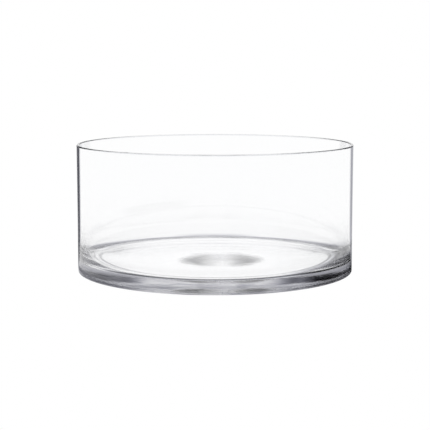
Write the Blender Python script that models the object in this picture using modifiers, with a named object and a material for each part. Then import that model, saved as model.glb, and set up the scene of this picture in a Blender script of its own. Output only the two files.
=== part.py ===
"""A straight-sided crystallizing dish with a heavy base: one piece of clear glass.

Metres, +Z up. The origin is the centre of the plane that the foot ring rests on,
and +Z is the dish's axis of revolution. The whole dish is one turned profile.
"""

import math

import bpy

# Driving dimensions.
OUTER_RADIUS = 0.125
HEIGHT = 0.115
WALL = 0.0024           # wall thickness above the fillet
BASE = 0.0105           # height of the inside floor over the resting plane

# Where the wall flows into the floor: a quarter ellipse, taller than it is wide,
# that ends in a narrow bevel sloping down to the flat floor.
FILLET_WIDTH = 0.0055
FILLET_HEIGHT = 0.0185
BEVEL_WIDTH = 0.0035
BEVEL_SLOPE = math.radians(9)

# Outer corner at the foot, and the underside inside the foot ring.
HEEL_RADIUS = 0.0008
FOOT_INNER_RADIUS = 0.1085
STEP_WIDTH = 0.0035     # radial width of the small step up from the foot ring
STEP_HEIGHT = 0.0007
DISH_RISE = 0.0008      # the underside is dished by this much more at its centre
DISH_POWER = 4          # flat in the middle, bending down near the foot ring
HOLLOW_RADIUS = 0.04    # shallow ground hollow at the centre of the underside
HOLLOW_DEPTH = 0.003

# Facets.
SEGMENTS = 96
RIM_STEPS = 8
FILLET_STEPS = 10
HEEL_STEPS = 4
STEP_STEPS = 4
DISH_STEPS = 5
HOLLOW_STEPS = 8
MERGE_DISTANCE = 0.00001

GLASS_COLOUR = (0.97, 0.975, 0.985, 1.0)
GLASS_ROUGHNESS = 0.01
GLASS_IOR = 1.52

INNER_RADIUS = OUTER_RADIUS - WALL
FLOOR_RADIUS = INNER_RADIUS - FILLET_WIDTH - BEVEL_WIDTH


def clear_scene():
    """Remove every object that the file already holds."""
    for obj in list(bpy.data.objects):
        bpy.data.objects.remove(obj, do_unlink=True)


def arc(centre, radii, start, end, steps):
    """Points on an axis-aligned ellipse from start to end, in degrees, both included."""
    points = []
    for step in range(steps + 1):
        angle = math.radians(start + (end - start) * step / steps)
        x = centre[0] + radii[0] * math.cos(angle)
        z = centre[1] + radii[1] * math.sin(angle)
        points.append((x, z))
    return points


def inside_points():
    """Floor centre, then out along the floor, over the bevel and up the fillet to the wall."""
    turn = math.atan(FILLET_WIDTH / FILLET_HEIGHT * math.tan(BEVEL_SLOPE))
    fillet_radius = INNER_RADIUS - FILLET_WIDTH
    bevel_end = fillet_radius + FILLET_WIDTH * math.sin(turn)
    bevel_top = BASE + (bevel_end - FLOOR_RADIUS) * math.tan(BEVEL_SLOPE)
    centre = (fillet_radius, bevel_top + FILLET_HEIGHT * math.cos(turn))
    radii = (FILLET_WIDTH, FILLET_HEIGHT)
    fillet = arc(centre, radii, math.degrees(turn) - 90, 0, FILLET_STEPS)
    return [(0.0, BASE), (FLOOR_RADIUS, BASE)] + fillet


def rim_points():
    """The fire-polished rim: a half circle as wide as the wall, inside to outside."""
    half = WALL / 2
    centre = (OUTER_RADIUS - half, HEIGHT - half)
    return arc(centre, (half, half), 180, 0, RIM_STEPS)


def heel_points():
    """The small round corner from the outer wall to the foot ring."""
    centre = (OUTER_RADIUS - HEEL_RADIUS, HEEL_RADIUS)
    return arc(centre, (HEEL_RADIUS, HEEL_RADIUS), 0, -90, HEEL_STEPS)


def underside_height(radius):
    """Height of the underside: a soft step, a shallow dish, and a hollow in its middle."""
    share = min((FOOT_INNER_RADIUS - radius) / STEP_WIDTH, 1.0)
    height = STEP_HEIGHT * share * share * (3 - 2 * share)
    height += DISH_RISE * (1 - (radius / FOOT_INNER_RADIUS) ** DISH_POWER)
    if radius < HOLLOW_RADIUS:
        height += HOLLOW_DEPTH * (1 - (radius / HOLLOW_RADIUS) ** 2) ** 2
    return height


def spaced(start, end, steps):
    """Numbers from start to end in equal steps, end left out."""
    return [start + (end - start) * step / steps for step in range(steps)]


def underside_points():
    """The foot ring's inner edge, the step, the dish and the hollow, in to the axis."""
    step_end = FOOT_INNER_RADIUS - STEP_WIDTH
    radii = spaced(FOOT_INNER_RADIUS, step_end, STEP_STEPS)
    radii += spaced(step_end, HOLLOW_RADIUS, DISH_STEPS)
    radii += spaced(HOLLOW_RADIUS, 0.0, HOLLOW_STEPS) + [0.0]
    return [(radius, underside_height(radius)) for radius in radii]


def glass_material():
    """Clear, very slightly blue-grey soda-lime glass."""
    material = bpy.data.materials.new("clear_glass")
    material.use_nodes = True
    shader = material.node_tree.nodes["Principled BSDF"]
    shader.inputs["Base Color"].default_value = GLASS_COLOUR
    shader.inputs["Roughness"].default_value = GLASS_ROUGHNESS
    shader.inputs["Metallic"].default_value = 0.0
    shader.inputs["IOR"].default_value = GLASS_IOR
    shader.inputs["Transmission Weight"].default_value = 1.0
    return material


def turned_mesh(name, points):
    """A profile in the XZ plane as a chain of edges, ready to be turned about Z."""
    mesh = bpy.data.meshes.new(name)
    vertices = [(x, 0.0, z) for x, z in points]
    edges = [(index, index + 1) for index in range(len(points) - 1)]
    mesh.from_pydata(vertices, edges, [])
    return mesh


def build_dish(collection):
    """The glass dish, from the floor's centre over the rim to the underside's centre."""
    points = inside_points() + rim_points() + heel_points() + underside_points()
    dish = bpy.data.objects.new("glass_dish", turned_mesh("glass_dish", points))
    collection.objects.link(dish)
    dish.data.materials.append(glass_material())
    screw = dish.modifiers.new("Turn", 'SCREW')
    screw.axis = 'Z'
    screw.angle = math.tau
    screw.steps = SEGMENTS
    screw.render_steps = SEGMENTS
    screw.use_merge_vertices = True
    screw.merge_threshold = MERGE_DISTANCE
    screw.use_smooth_shade = True
    return dish


def main():
    clear_scene()
    collection = bpy.data.collections.new("crystallizing_dish")
    bpy.context.scene.collection.children.link(collection)
    build_dish(collection)


main()
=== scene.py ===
"""Studio scene for a straight-sided crystallizing dish: the fine glass body and its light."""

import math

import bpy
import numpy as np
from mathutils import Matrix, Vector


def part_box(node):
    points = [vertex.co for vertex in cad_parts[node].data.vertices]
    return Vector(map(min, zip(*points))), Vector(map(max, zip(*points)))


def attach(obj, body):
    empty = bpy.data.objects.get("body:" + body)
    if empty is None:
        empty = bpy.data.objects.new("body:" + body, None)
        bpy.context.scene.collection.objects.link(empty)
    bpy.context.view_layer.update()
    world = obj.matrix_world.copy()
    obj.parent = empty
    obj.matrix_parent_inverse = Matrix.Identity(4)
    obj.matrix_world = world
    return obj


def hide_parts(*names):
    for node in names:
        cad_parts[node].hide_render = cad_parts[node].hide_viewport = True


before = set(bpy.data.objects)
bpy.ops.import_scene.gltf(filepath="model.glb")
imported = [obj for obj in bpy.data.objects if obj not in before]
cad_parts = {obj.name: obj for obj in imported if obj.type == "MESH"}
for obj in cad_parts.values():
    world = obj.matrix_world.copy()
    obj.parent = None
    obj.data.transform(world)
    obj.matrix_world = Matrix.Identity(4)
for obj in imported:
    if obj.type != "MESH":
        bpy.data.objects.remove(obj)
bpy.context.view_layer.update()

LOW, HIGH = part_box("glass_dish")

# ---------------------------------------------------------------------------
# The dish, in metres. Its outside is the CAD box; its inside is as in the CAD.
# ---------------------------------------------------------------------------
OUTER_RADIUS = (HIGH.x - LOW.x) / 2
HEIGHT = HIGH.z - LOW.z
WALL = 0.0024
BASE = 0.0105           # height of the inside floor over the resting plane
FILLET_WIDTH = 0.0055
FILLET_HEIGHT = 0.0185
BEVEL_WIDTH = 0.0035    # the floor turns up a little before the fillet starts
BEVEL_SLOPE = math.radians(9)
HEEL_RADIUS = 0.0008
FOOT_INNER_RADIUS = 0.1085
STEP_WIDTH = 0.0035     # soft step up from the foot ring
STEP_HEIGHT = 0.0007
DISH_RISE = 0.0008      # the underside is dished by this much
DISH_POWER = 4          # flat in the middle, bending down near the foot
HOLLOW_CENTRE = (0.006, -0.016)   # ground hollow near the middle of the underside
HOLLOW_RADIUS = 0.04
HOLLOW_DEPTH = 0.003

INNER_RADIUS = OUTER_RADIUS - WALL
FLOOR_RADIUS = INNER_RADIUS - FILLET_WIDTH - BEVEL_WIDTH

SEGMENTS = 384          # facets round the axis
FLOOR_STEPS = 16        # facets along each stretch of the outline
BEVEL_STEPS = 6
FILLET_STEPS = 40
INSIDE_STEPS = 8
RIM_STEPS = 14
OUTSIDE_STEPS = 12
HEEL_STEPS = 10
UNDERSIDE_STEPS = 120
BEND_MARGIN = 0.0004    # narrow rings beside each bend keep the flats beside it flat

# ---------------------------------------------------------------------------
# Glass
# ---------------------------------------------------------------------------
GLASS_IOR = 1.52
GLASS_PALE = (1.0, 1.0, 1.0, 1.0)
GLASS_COOL = (0.992, 0.995, 1.0, 1.0)
TINT_SCALE = 12.0
ABSORPTION = (1.85, 1.85, 1.72)   # per metre, red, green and blue: a faint blue-grey

WAVE_HEIGHT = 0.000012            # turning marks in the lower glass
WAVE_LENGTH = 0.002
WAVE_LAYER = (0.0135, 0.045)      # they die out between these heights

CORD_COLOUR = (0.4, 0.4, 0.46, 1.0)   # streaks in the side of the base
CORD_THICKNESS = 0.0009
CORD_LENGTH = 0.022
CORD_HEIGHT = 0.00002
CORD_NOISE = (0.52, 0.62)         # noise at which a streak starts to show, and is full
CORD_LAYER = (BASE - 0.002, BASE)   # they die out between these heights
OUTER_SIDE = (OUTER_RADIUS - 0.001, OUTER_RADIUS - 0.0005)   # radii where the side begins

RING_RADIUS = 0.1129              # fine turned line round the floor
RING_WIDTH = 0.0009
RING_HEIGHT = 0.0003
RING_LAYER = (0.6 * BASE, 0.8 * BASE)   # the line starts between these heights
INSIDE = (OUTER_RADIUS - 0.001, OUTER_RADIUS - 0.003)   # radii where the inside begins

MARK_STRETCH = 0.85               # front to back scale of the hollow's ground skin
MARK_EDGE = (0.85 * HOLLOW_RADIUS, 1.3 * HOLLOW_RADIUS)   # it fades between these radii
MARK_LOBE = (0.2 * HOLLOW_RADIUS, 0.8 * HOLLOW_RADIUS)    # from its middle gap to its lobes
MARK_GAP = 0.22                   # how much of the skin is left in the gap
MARK_RAGGED = 0.4 * HOLLOW_RADIUS   # how far noise moves the edges and lobes
RAGGED_SCALE = 60.0
MARK_HEIGHT = 0.0004
MARK_GRAIN = 0.005
MARK_ROUGHNESS = 1.0
# painted shade: the ground mark's skin is painted nearly black, for the dark smudge that the
# hollow shows
MARK_SHADE_COLOUR = (0.02, 0.02, 0.03, 1.0)
UNDERSIDE_LAYER = (0.0045, 0.009)   # the underside's finish ends between these heights

RIM_SHADE_COLOUR = (0.75, 0.76, 0.78, 1.0)    # painted shade: the fire-polished rim is painted a shade greyer, for the grey line along its edge
RIM_SHADE_LAYER = (HEIGHT - 0.0015, HEIGHT - 0.00075)
FOOT_ROUGHNESS = 0.1              # worn ring that it stands on
FOOT_LAYER = (0.0001, 0.0003)     # the wear ends between these heights
STEP_ROUGHNESS = 0.15             # its inner edge, where the grinding stopped
# painted shade: the step is painted dark, for the dark ring round the foot's inner edge
STEP_SHADE_COLOUR = (0.1, 0.1, 0.12, 1.0)

# ---------------------------------------------------------------------------
# Camera. Its distance and height are multiples of the dish's outer radius.
# ---------------------------------------------------------------------------
CAMERA_DISTANCE = 8.578
CAMERA_HEIGHT = 1.568
CAMERA_PITCH = math.radians(7.794)
FOCAL_LENGTH = 98.99
SENSOR_WIDTH = 36.0

# ---------------------------------------------------------------------------
# Studio light. Angles in degrees round the dish, 0 behind it and + to the right
# of the camera; levels are relative to the white background. Each panel covers
# the ones before it, with a soft edge.
# ---------------------------------------------------------------------------
DOME_RADIUS = 4.0
FLOOR_DROP = 0.0005     # the floor lies this far below the dish
STAGE_SEGMENTS = 96
DOME_RINGS = 48
BOUNCES = 48            # most times that one ray may turn
WHITE = 1.0
SHADE_COLOUR = (0.84, 0.85, 1.0, 1.0)    # the dark parts of the studio are a little blue
ALL_ROUND = 180
ANY = None

# level, middle, half width, soft edge, from elevation, to elevation, soft edge
DOME_PANELS = (
    (0.14, 0, ALL_ROUND, 0, ANY, ANY, 0),     # grey room
    (0.60, 180, 60, 40, ANY, 20, 15),         # lighter behind the camera
    (0.00, 295, 54, 8, ANY, 38, 11),          # black flag on the left
    (1.08, 0, ALL_ROUND, 0, 36, ANY, 22),     # bright ceiling
    (1.15, 180, 60, 40, 35, 80, 20),          # softbox over the camera
    (1.08, 2, 19, 14, ANY, ANY, 0),           # lit backdrop
    (0.30, -24, 3, 12, ANY, ANY, 0),          # its left edge
    (0.26, 30, 4, 16, ANY, ANY, 0),           # its right edge
)
CURL = (1.65, 2.15)     # the table's far edge curls up: below these elevations it is white
OUTLINE_CROSSINGS = 2   # surfaces crossed by the rays that draw the dark side lines

# Kinds of table panel: what its angles are taken round, and which rays it is shown to.
TABLE = "table"         # the axis; every ray
BODY = "body"           # the axis; rays through two thicknesses of glass at most
FRONT = "front"         # the axis; rays through one at most, unless a reflection came last
LEFT = "left"           # the dish's left side; rays through one thickness at most
RIGHT = "right"         # the dish's right side; rays through one thickness at most
PIVOT = {TABLE: 0, BODY: 0, FRONT: 0, LEFT: -1, RIGHT: 1}   # outer radii to the right
ONE_THICKNESS = 2.5     # a ray crosses two surfaces for each thickness
TWO_THICKNESSES = 4.5
NEAREST = 0.3           # a distance from the axis, in outer radii, is never taken below this

# level, middle, half width, soft edge, from radius, to radius, soft edge, kind: the radii
# are in outer radii, and their soft edge is in natural logs
TABLE_PANELS = (
    (1.00, 0, ALL_ROUND, 0, ANY, ANY, 0, TABLE),              # white table
    (0.30, 0, ALL_ROUND, 0, 1.02, 1.10, 0.10, BODY),          # shade all round the foot
    (0.32, 190, 42, 29, 0.88, 1.04, 0.13, FRONT),             # shade under the front edge
    (0.00, 102, 40, 25, 0.89, 1.60, 0.15, BODY),              # black card on the right
    (0.00, 167, 68, 19, 0.97, 1.17, 0.10, FRONT),             # black card in front
    (0.60, 0, 13, 14, 1.00, 1.19, 0.23, TABLE),               # soft shade behind
    (0.10, -21, 9, 8, 1.05, ANY, 0.3, LEFT),                  # dark strip off the left side
    (0.40, 21, 8, 10, 1.1, ANY, 0.3, RIGHT),                  # lighter one off the right
)


def smoothstep(x):
    """0 below 0, 1 above 1, smooth between."""
    x = np.clip(x, 0.0, 1.0)
    return x * x * (3 - 2 * x)


# ---------------------------------------------------------------------------
# Shader nodes
# ---------------------------------------------------------------------------
class Maths:
    """Adds linked maths nodes to one material's tree."""

    def __init__(self, tree):
        self.tree = tree

    def put(self, socket, value):
        """Links a socket to a node's output, or gives it a plain number."""
        if isinstance(value, bpy.types.NodeSocket):
            self.tree.links.new(value, socket)
        else:
            socket.default_value = value

    def do(self, operation, first, second=0.0):
        """The result of one maths node."""
        node = self.tree.nodes.new("ShaderNodeMath")
        node.operation = operation
        self.put(node.inputs[0], first)
        self.put(node.inputs[1], second)
        return node.outputs[0]

    def plus(self, first, *others):
        """The sum of all the values."""
        for other in others:
            first = self.do('ADD', first, other)
        return first

    def minus(self, first, second):
        """The first value less the second."""
        return self.do('SUBTRACT', first, second)

    def times(self, first, *others):
        """The product of all the values."""
        for other in others:
            first = self.do('MULTIPLY', first, other)
        return first

    def ease(self, value, low, high, start=0.0, end=1.0):
        """start below low, end above high, smooth between."""
        node = self.tree.nodes.new("ShaderNodeMapRange")
        node.interpolation_type = 'SMOOTHSTEP'
        for socket, number in zip(node.inputs, (value, low, high, start, end)):
            self.put(socket, number)
        return node.outputs[0]

    def fade(self, value, low, high):
        """1 below low, 0 above high, smooth between."""
        return self.ease(value, low, high, 1.0, 0.0)

    def split(self, vector):
        """The three parts of a vector."""
        node = self.tree.nodes.new("ShaderNodeSeparateXYZ")
        self.tree.links.new(vector, node.inputs[0])
        return node.outputs["X"], node.outputs["Y"], node.outputs["Z"]

    def join(self, x, y, z):
        """A vector from its three parts."""
        node = self.tree.nodes.new("ShaderNodeCombineXYZ")
        for socket, part in zip(node.inputs, (x, y, z)):
            self.put(socket, part)
        return node.outputs[0]

    def length(self, x, y):
        """Distance of the point (x, y) from (0, 0)."""
        return self.do('SQRT', self.plus(self.times(x, x), self.times(y, y)))

    def noise(self, vector, scale=1.0, detail=2.0):
        """Smooth noise between 0 and 1."""
        node = self.tree.nodes.new("ShaderNodeTexNoise")
        self.tree.links.new(vector, node.inputs["Vector"])
        node.inputs["Scale"].default_value = scale
        node.inputs["Detail"].default_value = detail
        return node.outputs["Fac"]

    def between(self, share, start, end):
        """start where share is 0, end where it is 1."""
        return self.plus(start, self.times(share, self.minus(end, start)))

    def blend(self, share, first, second):
        """A colour: the first where share is 0, the second where it is 1."""
        node = self.tree.nodes.new("ShaderNodeMix")
        node.data_type = 'RGBA'
        for name, value in (("Factor", share), ("A", first), ("B", second)):
            self.put(node.inputs[name], value)
        return node.outputs["Result"]


# ---------------------------------------------------------------------------
# The glass body
# ---------------------------------------------------------------------------
def line(start, end, steps):
    """Points from start to end, start left out."""
    share = np.linspace(0, 1, steps + 1)[1:, None]
    return np.array(start) + (np.array(end) - np.array(start)) * share


def arc(centre, radii, start, end, steps):
    """Points on an ellipse from start to end in degrees, start left out."""
    angle = np.radians(np.linspace(start, end, steps + 1)[1:])
    x = centre[0] + radii[0] * np.cos(angle)
    z = centre[1] + radii[1] * np.sin(angle)
    return np.stack([x, z], axis=1)


def underside_height(radius):
    """The turned underside: flat foot ring, soft step and a shallow dish."""
    edge = FOOT_INNER_RADIUS
    step = STEP_HEIGHT * smoothstep((edge - radius) / STEP_WIDTH)
    dish = DISH_RISE * np.clip(1 - (radius / edge) ** DISH_POWER, 0, None)
    return step + dish


def hollow_height(x, y):
    """How far the ground hollow lifts the underside at a point."""
    apart = np.hypot(x - HOLLOW_CENTRE[0], y - HOLLOW_CENTRE[1])
    return HOLLOW_DEPTH * np.clip(1 - (apart / HOLLOW_RADIUS) ** 2, 0, None) ** 2


def inside_outline():
    """From the floor's centre over the bevel and up the fillet and the wall."""
    turn = math.atan(FILLET_WIDTH / FILLET_HEIGHT * math.tan(BEVEL_SLOPE))
    fillet_radius = INNER_RADIUS - FILLET_WIDTH
    bevel_end = fillet_radius + FILLET_WIDTH * math.sin(turn)
    bevel_top = BASE + (bevel_end - FLOOR_RADIUS) * math.tan(BEVEL_SLOPE)
    fillet_top = bevel_top + FILLET_HEIGHT * math.cos(turn)
    wall_low = (INNER_RADIUS, fillet_top + BEND_MARGIN)
    wall_high = (INNER_RADIUS, HEIGHT - WALL / 2 - BEND_MARGIN)
    return [
        [(0.0, BASE)],
        line((0, BASE), (FLOOR_RADIUS - BEND_MARGIN, BASE), FLOOR_STEPS),
        [(FLOOR_RADIUS, BASE)],
        line((FLOOR_RADIUS, BASE), (bevel_end, bevel_top), BEVEL_STEPS),
        arc((fillet_radius, fillet_top), (FILLET_WIDTH, FILLET_HEIGHT),
            math.degrees(turn) - 90, 0, FILLET_STEPS),
        [wall_low],
        line(wall_low, wall_high, INSIDE_STEPS),
    ]


def outside_outline():
    """From the inner edge of the half-round rim down to the heel."""
    half = WALL / 2
    rim_z = HEIGHT - half
    wall_high = (OUTER_RADIUS, rim_z - BEND_MARGIN)
    wall_low = (OUTER_RADIUS, HEEL_RADIUS + BEND_MARGIN)
    return [
        [(INNER_RADIUS, rim_z)],
        arc((OUTER_RADIUS - half, rim_z), (half, half), 180, 0, RIM_STEPS),
        [wall_high],
        line(wall_high, wall_low, OUTSIDE_STEPS),
        [(OUTER_RADIUS, HEEL_RADIUS)],
        arc((OUTER_RADIUS - HEEL_RADIUS, HEEL_RADIUS), (HEEL_RADIUS, HEEL_RADIUS),
            0, -90, HEEL_STEPS),
    ]


def underside_outline():
    """From the heel across the underside to its centre."""
    radii = np.linspace(OUTER_RADIUS - HEEL_RADIUS, 0, UNDERSIDE_STEPS + 1)[1:]
    return [np.stack([radii, underside_height(radii)], axis=1)]


def lathe(name, points):
    """Turns the outline about Z into one closed mesh, with the hollow pressed into it."""
    rings = len(points) - 2
    angle = np.arange(SEGMENTS) * math.tau / SEGMENTS
    radius = points[1:-1, 0][:, None]
    height = np.repeat(points[1:-1, 1][:, None], SEGMENTS, axis=1)
    body = np.stack([radius * np.cos(angle), radius * np.sin(angle), height], axis=2)
    under = points[1:-1, 1] < BASE / 2
    body[under, :, 2] += hollow_height(body[under, :, 0], body[under, :, 1])
    first_tip = (0, 0, points[0, 1])
    last_tip = (0, 0, points[-1, 1] + hollow_height(0.0, 0.0))
    vertices = np.concatenate([[first_tip], body.reshape(-1, 3), [last_tip]])
    near = np.arange(SEGMENTS)
    far = (near + 1) % SEGMENTS
    faces = [(0, 1 + a, 1 + b) for a, b in zip(near, far)]
    for ring in range(rings - 1):
        inner, outer = 1 + ring * SEGMENTS, 1 + (ring + 1) * SEGMENTS
        faces += [(inner + a, outer + a, outer + b, inner + b) for a, b in zip(near, far)]
    last = 1 + (rings - 1) * SEGMENTS
    tip = len(vertices) - 1
    faces += [(last + b, last + a, tip) for a, b in zip(near, far)]
    mesh = bpy.data.meshes.new(name)
    mesh.from_pydata(vertices.tolist(), [], faces)
    mesh.shade_smooth()
    piece = bpy.data.objects.new(name, mesh)
    bpy.context.scene.collection.objects.link(piece)
    return piece


# ---------------------------------------------------------------------------
# The glass's finish
# ---------------------------------------------------------------------------
class Glass(Maths):
    """Maths nodes for the glass, with the place of the shaded point.

    underneath is 1 on the underside and 0 on the rest of the dish.
    """

    def __init__(self, tree):
        super().__init__(tree)
        self.place = tree.nodes.new("ShaderNodeTexCoord").outputs["Object"]
        self.x, self.y, self.z = self.split(self.place)
        self.radius = self.length(self.x, self.y)
        self.underneath = self.fade(self.z, *UNDERSIDE_LAYER)


def turning_marks(glass):
    """Relief of fine rings in the lower glass that hardly change on the way round."""
    across = glass.do('DIVIDE', glass.minus(glass.z, glass.radius), WAVE_LENGTH)
    round_x = glass.do('DIVIDE', glass.x, glass.radius)
    round_y = glass.do('DIVIDE', glass.y, glass.radius)
    waves = glass.noise(glass.join(round_x, round_y, across), detail=1.0)
    return glass.times(waves, glass.fade(glass.z, *WAVE_LAYER), WAVE_HEIGHT)


def side_cords(glass):
    """Long thin streaks in the side of the base: how grey they are, and their relief."""
    along_x = glass.do('DIVIDE', glass.x, CORD_LENGTH)
    along_y = glass.do('DIVIDE', glass.y, CORD_LENGTH)
    layer = glass.do('DIVIDE', glass.z, CORD_THICKNESS)
    cords = glass.noise(glass.join(along_x, along_y, layer), detail=3.0)
    side = glass.times(glass.ease(glass.radius, *OUTER_SIDE), glass.fade(glass.z, *CORD_LAYER))
    streaks = glass.times(glass.ease(cords, *CORD_NOISE), side)
    return streaks, glass.times(cords, side, CORD_HEIGHT)


def floor_line(glass):
    """Relief of the fine line round the floor."""
    inside = glass.times(glass.ease(glass.z, *RING_LAYER), glass.ease(glass.radius, *INSIDE))
    off_line = glass.do('ABSOLUTE', glass.minus(glass.radius, RING_RADIUS))
    return glass.times(glass.fade(off_line, 0.0, RING_WIDTH), inside, RING_HEIGHT)


def ground_mark_and_shade(glass):
    """Share of the hollow's dull skin, which is also painted dark as shade: a ragged disc with a
    lobe on each side.
    """
    x = glass.minus(glass.x, HOLLOW_CENTRE[0])
    y = glass.times(glass.minus(glass.y, HOLLOW_CENTRE[1]), MARK_STRETCH)
    edge_noise = glass.noise(glass.place, RAGGED_SCALE, detail=3.0)
    reach = glass.plus(glass.length(x, y), glass.times(edge_noise, MARK_RAGGED))
    disc = glass.fade(reach, *MARK_EDGE)
    lobe_noise = glass.noise(glass.place, RAGGED_SCALE)
    aside = glass.plus(glass.do('ABSOLUTE', x), glass.times(lobe_noise, MARK_RAGGED))
    lobes = glass.ease(aside, *MARK_LOBE, MARK_GAP, 1.0)
    return glass.times(disc, glass.underneath, lobes)


def mark_grain(glass, mark):
    """Relief of the ground mark."""
    return glass.times(glass.noise(glass.place, 1 / MARK_GRAIN), mark, MARK_HEIGHT)


def worn_foot(glass):
    """Share of wear on the ring that the dish stands on."""
    return glass.times(glass.fade(glass.z, *FOOT_LAYER),
                       glass.ease(glass.radius, FOOT_INNER_RADIUS - STEP_WIDTH, FOOT_INNER_RADIUS))


def step_dullness_and_shade(glass):
    """Share of dullness, and of painted shade, on the step at the foot ring's inner edge."""
    middle = FOOT_INNER_RADIUS - STEP_WIDTH / 2
    off_step = glass.do('ABSOLUTE', glass.minus(glass.radius, middle))
    return glass.times(glass.fade(off_step, 0.0, STEP_WIDTH / 2), glass.underneath)


def glass_material():
    """Clear glass: tinted in its thickness, with turning marks, a ground mark and a worn foot, and
    painted shade on the ground mark, the foot ring's step and the rim.
    """
    material = bpy.data.materials.new("clear_glass")
    material.use_nodes = True
    tree = material.node_tree
    shader = tree.nodes["Principled BSDF"]
    shader.inputs["Transmission Weight"].default_value = 1.0
    shader.inputs["IOR"].default_value = GLASS_IOR

    glass = Glass(tree)
    cords, cord_relief = side_cords(glass)
    mark = ground_mark_and_shade(glass)
    step = step_dullness_and_shade(glass)
    rim = glass.ease(glass.z, *RIM_SHADE_LAYER)

    rough = glass.times(mark, MARK_ROUGHNESS)
    rough = glass.do('MAXIMUM', rough, glass.times(worn_foot(glass), FOOT_ROUGHNESS))
    rough = glass.do('MAXIMUM', rough, glass.times(step, STEP_ROUGHNESS))
    tree.links.new(rough, shader.inputs["Roughness"])

    bump = tree.nodes.new("ShaderNodeBump")
    bump.inputs["Strength"].default_value = 1.0
    bump.inputs["Distance"].default_value = 1.0
    relief = glass.plus(turning_marks(glass), mark_grain(glass, mark),
                        glass.plus(floor_line(glass), cord_relief))
    tree.links.new(relief, bump.inputs["Height"])
    tree.links.new(bump.outputs["Normal"], shader.inputs["Normal"])

    colour = glass.blend(glass.noise(glass.place, TINT_SCALE), GLASS_PALE, GLASS_COOL)
    # painted shade: the ground mark nearly black
    colour = glass.blend(mark, colour, MARK_SHADE_COLOUR)
    # painted shade: the foot ring's step dark
    colour = glass.blend(step, colour, STEP_SHADE_COLOUR)
    # painted shade: the rim a shade greyer
    colour = glass.blend(rim, colour, RIM_SHADE_COLOUR)
    colour = glass.blend(cords, colour, CORD_COLOUR)
    tree.links.new(colour, shader.inputs["Base Color"])

    # each channel absorbs density times (1 - colour) per metre
    volume = tree.nodes.new("ShaderNodeVolumeAbsorption")
    density = 2 * max(ABSORPTION)
    volume.inputs["Density"].default_value = density
    volume.inputs["Color"].default_value = tuple(1 - a / density for a in ABSORPTION) + (1,)
    tree.links.new(volume.outputs["Volume"], tree.nodes["Material Output"].inputs["Volume"])
    return material


# ---------------------------------------------------------------------------
# Studio
# ---------------------------------------------------------------------------
class Stage(Maths):
    """Maths nodes for the stage, with the place of the point that is lit.

    right and away are measured from the dish's axis as the camera sees it, so the
    studio turns with the camera.
    """

    def __init__(self, tree):
        super().__init__(tree)
        place = tree.nodes.new("ShaderNodeNewGeometry").outputs["Position"]
        x, y, self.up = self.split(place)
        turn = tree.nodes.new("ShaderNodeVectorTransform")
        turn.vector_type = 'VECTOR'
        turn.convert_from = 'WORLD'
        turn.convert_to = 'CAMERA'
        tree.links.new(self.join(x, y, 0.0), turn.inputs[0])
        self.right, _, depth = self.split(turn.outputs[0])
        self.radius = self.length(x, y)
        rest = self.minus(self.times(self.radius, self.radius), self.times(self.right, self.right))
        self.away = self.times(self.do('SQRT', self.do('MAXIMUM', rest, 0.0)),
                               self.do('SIGN', depth))
        self.path = tree.nodes.new("ShaderNodeLightPath").outputs

    def bearing(self, pivot=0.0):
        """Azimuth in degrees round a point pivot metres to the right: 0 away, + to the right."""
        return self.degrees(self.do('ARCTAN2', self.minus(self.right, pivot), self.away))

    def degrees(self, angle):
        """Radians as degrees."""
        return self.times(angle, 180 / math.pi)

    def cover(self, level, azimuth, height, panel):
        """The level after one soft panel is laid over it."""
        amount, middle, half, blur, low, high, soft = panel
        share = 1.0
        if half != ALL_ROUND:
            turn = self.times(self.minus(azimuth, middle), math.pi / 180)
            apart = self.degrees(self.do('ARCCOSINE', self.do('COSINE', turn)))
            share = self.fade(apart, half - blur / 2, half + blur / 2)
        if low is not ANY:
            share = self.times(share, self.ease(height, low - soft / 2, low + soft / 2))
        if high is not ANY:
            share = self.times(share, self.fade(height, high - soft / 2, high + soft / 2))
        return self.between(share, level, amount)

    def glow(self, level):
        """Ends the material in an emission of this level, plain white to the camera."""
        self.tree.nodes.remove(self.tree.nodes["Principled BSDF"])
        shown = self.between(self.path["Is Camera Ray"], level, WHITE)
        emission = self.tree.nodes.new("ShaderNodeEmission")
        tint = self.blend(shown, SHADE_COLOUR, (1.0, 1.0, 1.0, 1.0))
        self.tree.links.new(tint, emission.inputs["Color"])
        self.tree.links.new(shown, emission.inputs["Strength"])
        output = self.tree.nodes["Material Output"]
        self.tree.links.new(emission.outputs[0], output.inputs["Surface"])


def stage_material(name):
    """A new material for the stage, and its nodes."""
    material = bpy.data.materials.new(name)
    material.use_nodes = True
    material.cycles.emission_sampling = 'NONE'
    return material, Stage(material.node_tree)


def dome_material():
    """The room round the dish: its panels, and the far edge of the table."""
    material, stage = stage_material("studio_dome")
    azimuth = stage.bearing()
    elevation = stage.degrees(stage.do('ARCTAN2', stage.up, stage.radius))
    level = 0.0
    for panel in DOME_PANELS:
        level = stage.cover(level, azimuth, elevation, panel)
    # the dark side lines don't show the table's far edge
    off_outline = stage.minus(stage.path["Transmission Depth"], OUTLINE_CROSSINGS)
    elsewhere = stage.do('GREATER_THAN', stage.do('ABSOLUTE', off_outline), 0.5)
    curled = stage.times(elsewhere, stage.fade(elevation, *CURL))
    stage.glow(stage.between(curled, level, WHITE))
    return material


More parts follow.
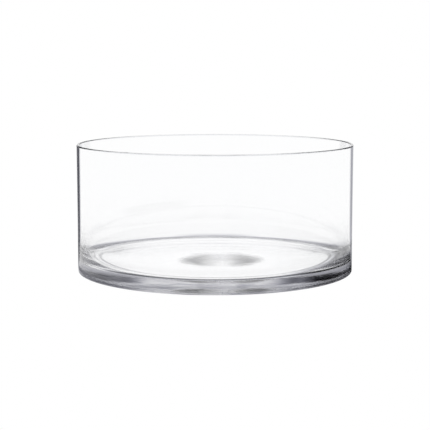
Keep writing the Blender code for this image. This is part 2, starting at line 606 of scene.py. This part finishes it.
def floor_material():
    """The table that the dish stands on, with its panels."""
    material, stage = stage_material("studio_floor")
    distance = stage.do('MAXIMUM', stage.do('DIVIDE', stage.radius, OUTER_RADIUS), NEAREST)
    distance = stage.do('LOGARITHM', distance, math.e)
    azimuth = {side: stage.bearing(side * OUTER_RADIUS) for side in (-1, 0, 1)}
    crossed = stage.path["Transmission Depth"]
    in_wall = stage.do('LESS_THAN', crossed, ONE_THICKNESS)
    shown = {
        TABLE: 1.0,
        BODY: stage.do('LESS_THAN', crossed, TWO_THICKNESSES),
        FRONT: stage.times(in_wall, stage.minus(1.0, stage.path["Is Reflection Ray"])),
        LEFT: in_wall,
        RIGHT: in_wall,
    }
    level = 0.0
    for amount, middle, half, blur, near, far, soft, kind in TABLE_PANELS:
        near, far = (r if r is ANY else math.log(r) for r in (near, far))
        panel = (amount, middle, half, blur, near, far, soft)
        covered = stage.cover(level, azimuth[PIVOT[kind]], distance, panel)
        level = stage.between(shown[kind], level, covered)
    stage.glow(level)
    return material


def stage_piece(name, material):
    """Makes the object that was just added a smooth, named piece of the stage."""
    obj = bpy.context.object
    obj.name = name
    obj.data.materials.append(material)
    obj.data.shade_smooth()


def build_studio():
    """The dome and the floor, and how far light is followed through the glass."""
    bpy.ops.mesh.primitive_uv_sphere_add(segments=STAGE_SEGMENTS, ring_count=DOME_RINGS,
                                         radius=DOME_RADIUS)
    stage_piece("studio_dome", dome_material())
    bpy.ops.mesh.primitive_circle_add(vertices=STAGE_SEGMENTS, radius=DOME_RADIUS,
                                      fill_type='NGON', location=(0, 0, -FLOOR_DROP))
    stage_piece("studio_floor", floor_material())
    scene = bpy.context.scene
    scene.view_settings.view_transform = 'Standard'
    scene.cycles.max_bounces = BOUNCES
    scene.cycles.transmission_bounces = BOUNCES
    scene.cycles.glossy_bounces = BOUNCES


def build_camera():
    """A long lens in front of the dish, a little above it and tilted down."""
    data = bpy.data.cameras.new("camera")
    data.sensor_width = SENSOR_WIDTH
    data.lens = FOCAL_LENGTH
    camera = bpy.data.objects.new("camera", data)
    camera.location = (0, -CAMERA_DISTANCE * OUTER_RADIUS, CAMERA_HEIGHT * OUTER_RADIUS)
    camera.rotation_euler = (math.pi / 2 - CAMERA_PITCH, 0, 0)
    bpy.context.scene.collection.objects.link(camera)
    bpy.context.scene.camera = camera


def build_dish():
    """The glass dish, which stands for the CAD's own."""
    outline = inside_outline() + outside_outline() + underside_outline()
    dish = lathe("dish_glass", np.concatenate(outline))
    dish.data.materials.append(glass_material())
    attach(dish, "root")
    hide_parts("glass_dish")


build_dish()
build_studio()
build_camera()
